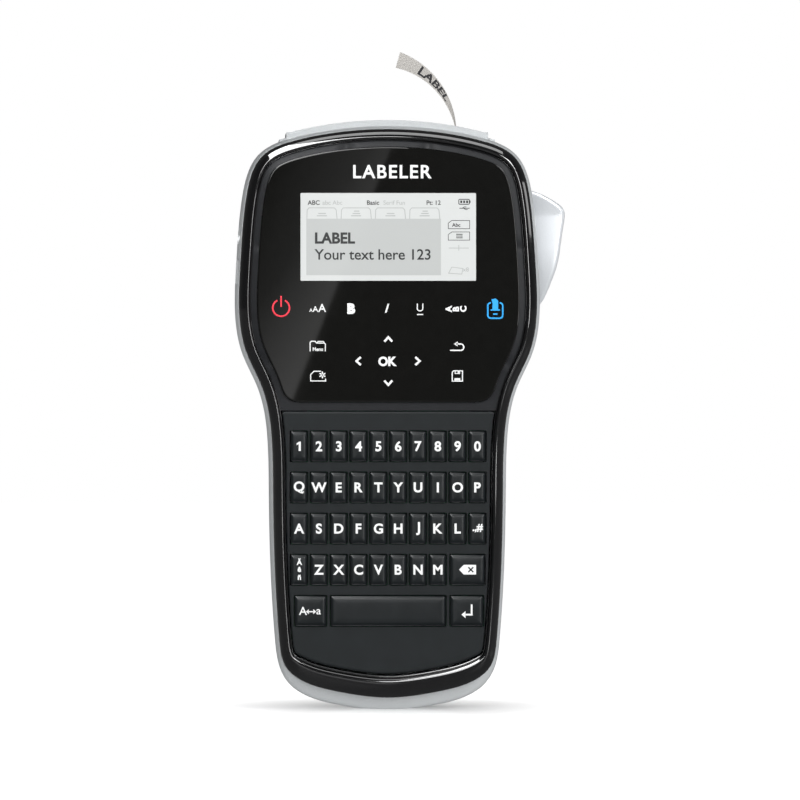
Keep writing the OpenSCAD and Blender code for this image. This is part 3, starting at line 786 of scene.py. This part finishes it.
def make_symbols():
    """White, red and blue symbols printed on the front sheet."""
    y0, y1 = SHEET_Y - 0.03, SHEET_Y + 0.1
    white, red, blue = Shape(), Shape(), Shape()

    def write(words, height, x, z, **look):
        white.text(words, height, (x, z), y0, 0.12, **look)

    def draw(line, width, ink=white, closed=False):
        ink.ribbon(line, width, y0, y1, closed=closed)

    def fill(outline, ink=white):
        ink.plate(outline, y0, y1)

    # power
    cx, cz, gap = -36.6, 137.35, 27
    draw(arc(cx, cz, 2.85, 90 + gap, 450 - gap, 40), 0.55, red)
    draw([(cx, cz + 4.1), (cx, cz + 0.35)], 0.55, red)
    # letter size, bold, slanted, underlined, upright writing
    for height, x in ((1.15, -26.4), (1.9, -24.9), (2.65, -22.6)):
        write("A", height, x, 136.0 + height / 2, bold=0.012)
    write("B", 3.0, -12.65, 137.1, bold=0.075)
    write("I", 2.9, -0.4, 137.25, bold=0.02, slant=0.3)
    write("U", 2.6, 10.85, 137.5)
    draw([(9.8, 135.1), (11.9, 135.1)], 0.36)
    for letter, x in (("A", 20.6), ("B", 23.1), ("C", 25.6)):
        write(letter, 1.95, x, 137.0, bold=0.045, turn=math.pi / 2)
    # print
    px, pz = 36.55, 136.6
    case = [(px - 1.5, pz + 2.5)]
    for x, z, start in ((-1.55, 1.5, 90), (-1.55, -1.75, 180), (1.55, -1.75, 270), (1.55, 1.5, 0)):
        case += arc(px + x, pz + z, 1.0, start, start + 90, 5)
    draw([*case, (px + 1.5, pz + 2.5)], 0.5, blue)
    fill([(px - 1.0, pz + 0.25), (px + 1.0, pz + 0.25), (px + 1.0, pz + 3.2), (px + 0.2, pz + 3.95),
          (px - 1.3, pz + 3.7), (px - 0.9, pz + 2.2)], blue)
    draw([(px - 1.6, pz + 0.05), (px + 1.6, pz + 0.05)], 0.45, blue)
    draw([(px - 0.75, pz - 1.35), (px + 0.75, pz - 1.35)], 0.5, blue)
    # chevrons and the middle word
    for cx, cz, a in ((0.0, 126.6, 0), (-10.15, 119.2, 90), (10.0, 119.2, -90), (0.0, 111.8, 180)):
        c, s = math.cos(math.radians(a)), math.sin(math.radians(a))
        v = [(-1.35, -0.75), (0, 0.75), (1.35, -0.75)]
        draw([(cx + p * c - q * s, cz + p * s + q * c) for p, q in v], 0.72)
    write("OK", 2.85, -0.25, 119.1, bold=0.045, stretch=0.95)
    # folder with its word
    fx, fz = -24.1, 124.2
    draw([(fx - 2.6, fz - 1.7), (fx - 2.6, fz + 1.3), (fx - 2.2, fz + 1.75), (fx - 0.9, fz + 1.75),
          (fx - 0.4, fz + 1.15), (fx + 2.3, fz + 1.15), (fx + 2.6, fz + 0.8), (fx + 2.6, fz - 1.7)], 0.34)
    draw([(fx - 0.3, fz + 1.2), (fx + 0.1, fz + 1.7), (fx + 1.9, fz + 1.7), (fx + 2.3, fz + 1.2)], 0.3)
    write("Menu", 1.15, fx + 0.05, fz - 0.95, bold=0.03, stretch=0.95)
    # label with a star
    lx, lz = -24.0, 114.1
    draw([(lx + 1.0, lz + 1.6), (lx - 1.4, lz + 1.6), (lx - 2.5, lz + 0.5), (lx - 2.5, lz - 1.7),
          (lx + 2.6, lz - 1.7), (lx + 2.6, lz - 0.9)], 0.34)
    for k in range(3):
        a = math.radians(90 + 60 * k)
        dx, dz = 1.15 * math.cos(a), 1.15 * math.sin(a)
        draw([(lx + 1.5 - dx, lz + 0.35 - dz), (lx + 1.5 + dx, lz + 0.35 + dz)], 0.42)
    # way back
    rx, rz = 23.5, 124.0
    bend = arc(rx + 1.2, rz - 0.05, 1.1, -90, 90, 8)
    draw([(rx - 2.4, rz - 1.15), (rx + 1.2, rz - 1.15), *bend, (rx - 0.4, rz + 1.05)], 0.45)
    fill([(rx - 1.1, rz + 1.05), (rx + 0.2, rz + 0.2), (rx + 0.2, rz + 1.9)])
    # store
    sx, sz, side = 23.6, 114.1, 1.75
    draw([(sx - side, sz - side), (sx + side, sz - side), (sx + side, sz + side), (sx - 1.3, sz + side),
          (sx - side, sz + 1.3)], 0.36, closed=True)
    fill(round_rect(sx - 1.0, sz - 1.5, sx + 1.0, sz - 0.75, 0.1, 2))
    draw([(sx - 0.75, sz + 1.55), (sx - 0.75, sz + 0.85), (sx + 0.75, sz + 0.85), (sx + 0.75, sz + 1.55)],
         0.28)
    fill(round_rect(sx + 0.1, sz + 1.0, sx + 0.5, sz + 1.6, 0.05, 2))
    # plain word above the screen
    write("LABELER", 4.3, 1.4, 183.9, bold=0.02, spacing=1.15)
    piece("symbols_white", white, [INK_WHITE], sharp=30)
    piece("symbol_power", red, [INK_RED], sharp=30)
    piece("symbol_print", blue, [INK_BLUE], sharp=30)


# ---- Keyboard ----

MAT_TOP = 102.0
MAT_Y = -7.0
KEY_W, KEY_H, WIDE_W = 5.8, 10.3, 11.9
COLUMN, ROW, TOP_ROW = 6.77, 14.05, 90.1
KEY_Y = -8.3
KEY_FALL = 0.5
KEY_GAP = 0.28

ROWS = ["1234567890", "qwertyuiop", "asdfghjkl", "zxcvbnm"]


def key_list():
    """Name, centre and width of every key."""
    keys = []
    for r, letters in enumerate(ROWS):
        first = 1 if r == 3 else 0
        for c, letter in enumerate(letters):
            keys.append((letter, (c + first - 4.5) * COLUMN, TOP_ROW - r * ROW, KEY_W))
    keys.append(("symbols", 4.5 * COLUMN, TOP_ROW - 2 * ROW, KEY_W))
    keys.append(("accents", -4.5 * COLUMN, TOP_ROW - 3 * ROW, KEY_W))
    keys.append(("backspace", 4 * COLUMN, TOP_ROW - 3 * ROW, WIDE_W))
    keys.append(("capitals", -3.92 * COLUMN, TOP_ROW - 4 * ROW, 10.9))
    keys.append(("space", 0.0, TOP_ROW - 4 * ROW, 39.4))
    keys.append(("return", 3.97 * COLUMN, TOP_ROW - 4 * ROW, 11.4))
    return keys


def key_legend(s, name, x, z):
    """Adds a key's white legend as finish 1."""
    y0, y1 = KEY_Y - 0.02, KEY_Y + 0.55

    def write(words, height, dx=0.0, dz=0.0, **look):
        s.text(words, height, (x + dx, z + dz), y0, 0.57, finish=1, **look)

    def draw(line, width):
        s.ribbon([(x + dx, z + dz) for dx, dz in line], width, y0, y1, 1)

    def fill(outline):
        s.plate([(x + dx, z + dz) for dx, dz in outline], y0, y1, 1)

    if name == "symbols":
        write(".,#", 2.5, 0.1, 0.1, bold=0.03, stretch=0.95)
    elif name == "accents":
        for letter, dz in (("Ä", 2.75), ("ê", 0.1), ("ñ", -2.6)):
            write(letter, 1.7, 0.1, dz, bold=0.035)
    elif name == "backspace":
        fill([(-2.9, 0), (-1.3, 1.65), (2.9, 1.65), (2.9, -1.65), (-1.3, -1.65)])
        middle, arm = x + 1.1, 0.85
        for k in (-1, 1):
            s.ribbon([(middle - arm, z - k * arm), (middle + arm, z + k * arm)], 0.45, y0 - 0.03, y1)
    elif name == "capitals":
        write("A", 2.7, -2.6, bold=0.008)
        write("a", 2.6, 2.75, -0.3, bold=0.008)
        draw([(-0.9, -0.25), (1.2, -0.25)], 0.42)
        for k in (-1, 1):
            fill([(0.15 + k * 1.75, -0.25), (0.15 + k * 0.75, 0.6), (0.15 + k * 0.75, -1.1)])
    elif name == "return":
        draw([(1.6, 2.2), (1.6, -1.3), (-0.6, -1.3)], 0.6)
        fill([(-1.9, -1.3), (-0.5, -0.1), (-0.5, -2.5)])
    elif name == "1":
        flag = [(0.05, 1.6), (-0.85, 1.0), (-0.85, 0.35), (-0.15, 0.75)]
        fill([(-0.15, -1.6), (0.6, -1.6), (0.6, 1.6), *flag])
    elif name != "space":
        write(name.upper(), 3.15, bold=0.03)


def make_keys():
    """Rubber keys with wide bevels, tops that fall to the right, and printed legends."""
    # inward step, depth: from the foot of the key to its top
    steps = [(0, -5.95), (0, -7.35), (0.05, -7.55), (0.2, -7.7), (0.55, -7.95), (0.85, -8.13), (1.1, -8.2),
             (1.5, -8.24), (2.1, -8.28), (2.6, KEY_Y)]
    for name, x, z, w in key_list():
        s = Shape()
        rings = []
        for d, y in steps:
            half_w, half_h = w / 2 - d, KEY_H / 2 - d
            r = min(max(0.12, 0.55 - 0.25 * d), half_w - 0.02)
            ring = at_depth(round_rect(x - half_w, z - half_h, x + half_w, z + half_h, r, 4), y)
            if d > 0.1:
                ring = [(p, q + KEY_FALL * max(0.0, (p - x) / w + 0.5) ** 2, v) for p, q, v in ring]
            rings.append(ring)
        s.loft(rings)
        key_legend(s, name, x, z)
        node = "key_" + name
        piece(node + "_cap", s, [KEY_RUBBER, INK_WHITE], body=node, nodes=[node], sharp=45)


def lower_part(line):
    """The part of an outline below the top of the mat, closed by a straight upper edge."""
    keep = [tuple(p) for p in line if p[1] < MAT_TOP]
    left = [i for i, p in enumerate(keep) if p[0] < 0]
    start = min(left, key=lambda i: keep[i][0] + 10 * (MAT_TOP - keep[i][1]))
    keep = keep[start:] + keep[:start]
    x0, r = half_width(line, MAT_TOP), 1.0
    corner = [(x0, MAT_TOP - r), (x0 - 0.3 * r, MAT_TOP - 0.3 * r), (x0 - r, MAT_TOP)]
    return [p for p in keep if p[1] < MAT_TOP - 1.5] + corner + [(-x, z) for x, z in corner[::-1]]


def make_mat():
    """Rubber sheet with a rounded edge and an opening for each key."""
    line = lower_part(inset(BAND + 0.35))
    steps = [(0, -5.9), (0, -6.55), (0.12, -6.85), (0.4, MAT_Y), (0.9, MAT_Y)]
    s = Shape().loft([at_depth(shrink(line, d), y) for d, y in steps])
    mat = piece("mat", s, [MAT_RUBBER], nodes=["keypad_mat"])
    holes = Shape()
    for _, x, z, w in key_list():
        half_w, half_h = w / 2 + KEY_GAP, KEY_H / 2 + KEY_GAP
        holes.plate(round_rect(x - half_w, z - half_h, x + half_w, z + half_h, 0.6, 4), -9, -5)
    combine(mat, holes, "DIFFERENCE")
    soften(mat, 0.12)


# ---- Rear shell and its doors ----

GRIP_DEPTH = 22.0
SPINE_LOW, SPINE_HIGH = 38.0, 160.0
FLAT_SHARE = 0.8
WALL_Y = 9.0
SHELL_WALL = 2.2
TAPE_X, TAPE_Y, TAPE_W = 24.6, 34.0, 12.0
DOOR = (-35.0, 129.8, 35.0, 183.0)
COVER = (-22.0, 31.0, 22.0, 96.0)
BEAD = 1.6
LEVER_Y = (12.0, 36.0)
SCREWS = [(-22, 19), (22, 19), (-31, 104), (31, 104)]


def back_depth(z):
    t = np.clip((z - 100) / 26, 0, 1)
    return GRIP_DEPTH + (HEAD_DEPTH - GRIP_DEPTH) * t * t * (3 - 2 * t)


def skin(wall):
    """Rings of one skin of the shell, from the joint plane to the back."""
    rings = []
    for t in np.linspace(0, 1, 8):
        side = 0.2 + (SIDE_SWELL - 0.2) * (1 - (1 - t) ** 2.8)
        foot = 0.3 + (0.9 * FOOT_SWELL - 0.3) * (1 - (1 - t) ** 1.9)
        rings.append(at_depth(outline(side - wall, foot - wall), 5 * t))
    line = outline(SIDE_SWELL - wall, FOOT_SWELL - wall)
    spine = np.column_stack([np.zeros(RING), np.clip(line[:, 1], SPINE_LOW, SPINE_HIGH)])
    for turn in np.radians(np.linspace(0, 90, 15)):
        share = FLAT_SHARE + (1 - FLAT_SHARE) * math.cos(turn)
        q = spine + (line - spine) * share
        y = WALL_Y + (back_depth(q[:, 1]) - wall - WALL_Y) * math.sin(turn)
        rings.append([(x, d, z) for (x, z), d in zip(q, y)])
    return rings


def back_strips(ring):
    """Faces across the back of one ring, from its left side to its right."""
    n, half = len(ring), len(ring) // 2
    faces = [[0, 1, n - 1]]
    faces += [[i, i + 1, n - i - 1, n - i] for i in range(1, half - 1)]
    return faces + [[half - 1, half, half + 1]]


def make_shell():
    """Silver shell: one lofted cup with a ridge for the tape and its openings cut out."""
    outer, inner = skin(0), skin(SHELL_WALL)
    cup = Shape()
    cup.loft(inner[::-1] + outer, caps=False)
    cup.add(inner[-1], back_strips(inner[-1]))
    cup.add(outer[-1], back_strips(outer[-1]))
    shell = piece("shell", cup, [SILVER, DARK_PLASTIC], nodes=["rear_housing"])
    ridge = Shape()
    for half, rise, lead in ((34.6, 3.35, 0), (37.0, 2.0, 2)):
        top = [p for p in outline(rise, 0) if p[1] > 180 and abs(p[0]) < half]
        top.sort(key=lambda p: -p[0])
        low = [p for p in inset(3.2) if p[1] > 180 and abs(p[0]) < half]
        low.sort(key=lambda p: p[0])
        ends = [(half, top[0][1]), *top, (-half, top[-1][1]), (-half, low[0][1]), *low, (half, low[-1][1])]
        ridge.loft([at_depth(ends, y) for y in (5.5 + lead, HEAD_DEPTH - 5.5 + lead / 2)])
    combine(shell, ridge, "UNION")
    combine(shell, shell_openings(), "DIFFERENCE")
    soften(shell, 0.25, 40)
    add_screw_sleeves()


def block(s, a, b, r=0.0):
    """Upright block between corners a and b, with its face-on corners rounded."""
    s.plate(round_rect(a[0], a[2], b[0], b[2], max(r, 0.01), 5 if r else 1), a[1], b[1])


def rod_y(s, x, z, y0, y1, r):
    s.plate(circle(x, z, r), y0, y1)


def rod_x(s, x0, x1, y, z, r, count=32):
    s.loft([[(x, p, q) for p, q in circle(y, z, r, count)] for x in (x0, x1)])


def shell_openings():
    """Tape slot, lever opening, door openings, sockets and screw wells, to cut out of the shell."""
    s = Shape()
    slot_half = TAPE_W / 2 + 1.5
    block(s, (TAPE_X - 2.2, TAPE_Y - slot_half, 188), (TAPE_X + 0.8, TAPE_Y + slot_half, 210))
    block(s, (43, LEVER_Y[0] - 0.4, 135.8), (63, LEVER_Y[1] + 0.4, 179.4), 1.0)
    gap = 0.35
    for (x0, z0, x1, z1), depth in ((DOOR, HEAD_DEPTH), (COVER, GRIP_DEPTH)):
        low = z0 - BEAD - gap
        line = round_rect(x0 - gap, low, x1 + gap, z1 + gap, 2.0)
        line = [p for p in line if p[1] > low + 2.1] + [(x0 - gap, low), (x1 + gap, low)]
        s.plate(line, depth - 4, depth + 3)
    rod_x(s, -60, -40, 4.1, 162.5, 3.6)
    block(s, (-60, 0.6, 145.6), (-40, 5, 154.4), 0.01)
    for x, z in SCREWS:
        rod_y(s, x, z, 6, 60, 2.8)
    return s


def add_screw_sleeves():
    """Wells around the case screws, and the ears of the lever's pin."""
    s = Shape()
    for x, z in SCREWS:
        top = float(back_depth(z - 4)) - 1
        section = [(4, 6), (4, top), (2.8, top), (2.8, 12), (1.4, 12), (1.4, 6)]
        s.loft([at_depth(circle(x, z, r), y) for r, y in section], tube=True)
    for y0, y1, x1 in ((LEVER_Y[0] - 2.8, LEVER_Y[0] - 0.4, 50), (LEVER_Y[1] + 0.4, LEVER_Y[1] + 2.8, 46.5)):
        block(s, (42.5, y0, 135.5), (x1, y1, 143.5), 1.5)
    piece("shell_inside", s, [DARK_PLASTIC])


def hinged(name, box, depth, pull, body, extra=None):
    """A flush cover with a rolled hinge edge, a finger scoop and fine grip ribs."""
    x0, z0, x1, z1 = box
    s = Shape()
    line = [(x0, z0), (x1, z0)] + [p for p in round_rect(x0, z0, x1, z1, 2.0) if p[1] > z0 + 2.1]
    s.plate(line, depth - 2, depth)
    obj = piece(name, s, [SILVER, DARK_PLASTIC], body=body, nodes=[body])
    bead = Shape()
    rod_x(bead, x0, x1, depth - BEAD, z0, BEAD, 40)
    combine(obj, bead, "UNION")
    scoop = Shape()
    rod_x(scoop, -pull / 2, pull / 2, depth + 1.4, z1 - 8, 2.4, 40)
    combine(obj, scoop, "DIFFERENCE")
    if extra:
        combine(obj, extra, "DIFFERENCE")
    ribs = Shape()
    for k in range(4):
        section = [(depth - 0.02 + 0.32 * v, z1 - 15 - 2.2 * k + 0.5 * u) for u, v in circle(0, 0, 1, 12)]
        ribs.loft([[(x, y, z) for y, z in section] for x in (-pull / 2, pull / 2)])
    for k in (-1, 1):
        rod_x(ribs, k * (x1 + 1.1) - 1.5, k * (x1 + 1.1) + 1.5, depth - BEAD, z0, 1.0, 24)
    soften(obj, 0.3, 40)
    piece(name + "_grip", ribs, [SILVER], body=body)


# ---- Lever and label ----


def lever_bow(x, z):
    """How far the lever's front falls back below its brow, at the tip and to its outer edge."""
    brow = min(1.0, max(0.0, (178.3 - z) / 9.0))
    tip = max(0.0, 158.0 - z)
    return 2.3 * (1 - (1 - brow) ** 1.3) + 0.008 * tip**2 + 0.009 * max(0.0, x - 49) ** 2


def dense(points, faces, longest):
    """Splits a triangle mesh until no edge is longer than a length."""
    bm = bmesh.new()
    verts = [bm.verts.new(p) for p in points]
    for f in faces:
        try:
            bm.faces.new([verts[i] for i in f])
        except ValueError:
            pass
    bmesh.ops.triangulate(bm, faces=bm.faces)
    for _ in range(6):
        long_edges = [e for e in bm.edges if e.calc_length() > longest and not e.is_boundary]
        if not long_edges:
            break
        bmesh.ops.subdivide_edges(bm, edges=long_edges, cuts=1, use_grid_fill=False)
        bmesh.ops.triangulate(bm, faces=bm.faces)
    bm.verts.index_update()
    out = [tuple(v.co) for v in bm.verts], [[v.index for v in f.verts] for f in bm.faces]
    bm.free()
    return out


def make_lever():
    """Hollow thumb lever with softly rounded edges."""
    knots = [(48.4, 178.3), (52.6, 177.0), (57.0, 174.8), (60.4, 172.4), (61.4, 170.4), (61.1, 166.5),
             (60.3, 161.5), (59.3, 154.5), (57.6, 148.6), (55.4, 143.2), (53.4, 139.4), (51.6, 137.9)]
    curve = [tuple(p) for p in spline(knots, 60, closed=False)]
    line = curve + [(46.5, 140.4), (45.0, 142.5), (45.0, 177.4), (45.8, 178.3)]
    line = np.array(line[::-1])
    y0, y1 = LEVER_Y
    loops = []
    for d, y in ((1.3, y0), (0.62, y0 + 0.12), (0.22, y0 + 0.45), (0.03, y0 + 1.0), (0, y0 + 1.7),
                 (0, y1 - 1.7), (0.03, y1 - 1.0), (0.22, y1 - 0.45), (0.62, y1 - 0.12), (1.3, y1)):
        share = 1 if y < y0 + 2 else 0
        loops.append([(x, y + share * lever_bow(x, z), z) for x, z in shrink(line, d)])
    body = Shape().loft(loops, caps=False)
    front = shrink(line, 1.3)
    points, faces = dense(*flat_cap([front], y0), 1.1)
    body.add([(x, y + lever_bow(x, z), z) for x, y, z in points], faces)
    body.add(*flat_cap([front], y1))
    lever = piece("lever", body, [LEVER_SILVER], body="cutter_lever", nodes=["cutter_lever"],
                  sharp=50)
    room = Shape()
    inside = shrink(line, 2.0)
    room.plate([(min(x, 42) if x < 48 else x, z) for x, z in inside], y0 + 7, y1 - 2)
    combine(lever, room, "DIFFERENCE", 50)
    works = Shape()
    rod_y(works, 46.5, 139.5, y0 + 0.3, y1 - 0.3, 3.0)
    rod_y(works, 46.5, 139.5, y0 - 2.4, y1 + 2.4, 2.0)
    block(works, (41, 30.4, 149), (57.0, 34, 153), 0.4)
    piece("lever_works", works, [LEVER_SILVER], body="cutter_lever")


CURL_R, CURL_TURN, CURL_TWIST, CURL_Z, CUT_Z = 28.6, 73.0, 30.0, 196.3, 189.0


def on_label(along_mm, across_mm, out_mm):
    """A point of the curled label: along it from the cut, across it and out of its outer face."""
    straight = CURL_Z - CUT_Z
    below = max(0.0, straight - along_mm)
    a = max(0.0, (along_mm - straight) / CURL_R)
    twist = math.radians(CURL_TWIST) * a / math.radians(CURL_TURN)
    out = np.array([math.cos(a), 0, math.sin(a)])
    middle = np.array([TAPE_X - CURL_R, TAPE_Y, CURL_Z - below]) + CURL_R * out
    side = np.array([0, math.cos(twist), 0]) + math.sin(twist) * out
    thick = math.cos(twist) * out - np.array([0, math.sin(twist), 0])
    return tuple(middle + side * across_mm + thick * out_mm)


def make_label():
    """Printed label, twisting as it curls over, with a word along it."""
    length = CURL_Z - CUT_Z + CURL_R * math.radians(CURL_TURN)
    half_t, half_w = 0.1, TAPE_W / 2
    rings = []
    for t in np.linspace(0, length, 60):
        across = np.linspace(-half_w, half_w, 9)
        ring = [(a, -half_t) for a in across] + [(a, half_t) for a in across[::-1]]
        rings.append([on_label(t, a, out) for a, out in ring])
    s = Shape().loft(rings)
    points, faces = lettering("LABEL", 0.03)
    points, triangles = dense(points, faces, 0.22)
    flat = np.array(points)
    word_height, word_length, middle = 8.4, 14.5, 28.2
    x = flat[:, 0] - (flat[:, 0].max() + flat[:, 0].min()) / 2
    x *= word_length / np.ptp(x)
    v = (flat[:, 1] - 0.5) * word_height
    out = half_t + np.where(flat[:, 2] > 0, 0.02, -0.05)
    s.add([on_label(middle - px, pv, pz) for px, pv, pz in zip(x, v, out)], triangles, finish=1)
    piece("label", s, [TAPE, TAPE_INK], body="label_tape", nodes=["label_tape"], sharp=40)


# ---- Works inside, kept from the CAD model ----


def dress(node, mat, edge):
    """Gives a CAD node its material and edges softened by edge millimetres."""
    obj = frame["nodes"][node]
    if not obj.data.materials:
        obj.data.materials.append(mat)
    for slot in obj.material_slots:
        slot.material = mat
    if edge:
        soften(obj, edge)


make_bezel()
make_window()
make_screen()
make_symbols()
make_keys()
make_mat()
make_shell()
slot_window = Shape().plate(round_rect(-15, 150, 15, 158, 3.9, 8), HEAD_DEPTH - 5, HEAD_DEPTH + 1)
hinged("door", DOOR, HEAD_DEPTH, 24, "cassette_door", slot_window)
hinged("cover", COVER, GRIP_DEPTH, 16, "battery_cover")
make_lever()
make_label()
for node, mat, edge in (
    ("battery_pack", WRAP, 0.3), ("cutter_blade", STEEL, 0), ("lever_spring", STEEL, 0),
    ("circuit_board", BOARD, 0), ("print_mechanism", DIE_CAST, 0.15), ("motor_pinion", BRASS, 0),
    ("drive_roller", PLATEN, 0), ("tape_cassette", CASSETTE, 0.3), ("screws", ZINC, 0.08),
):
    dress(node, mat, edge)
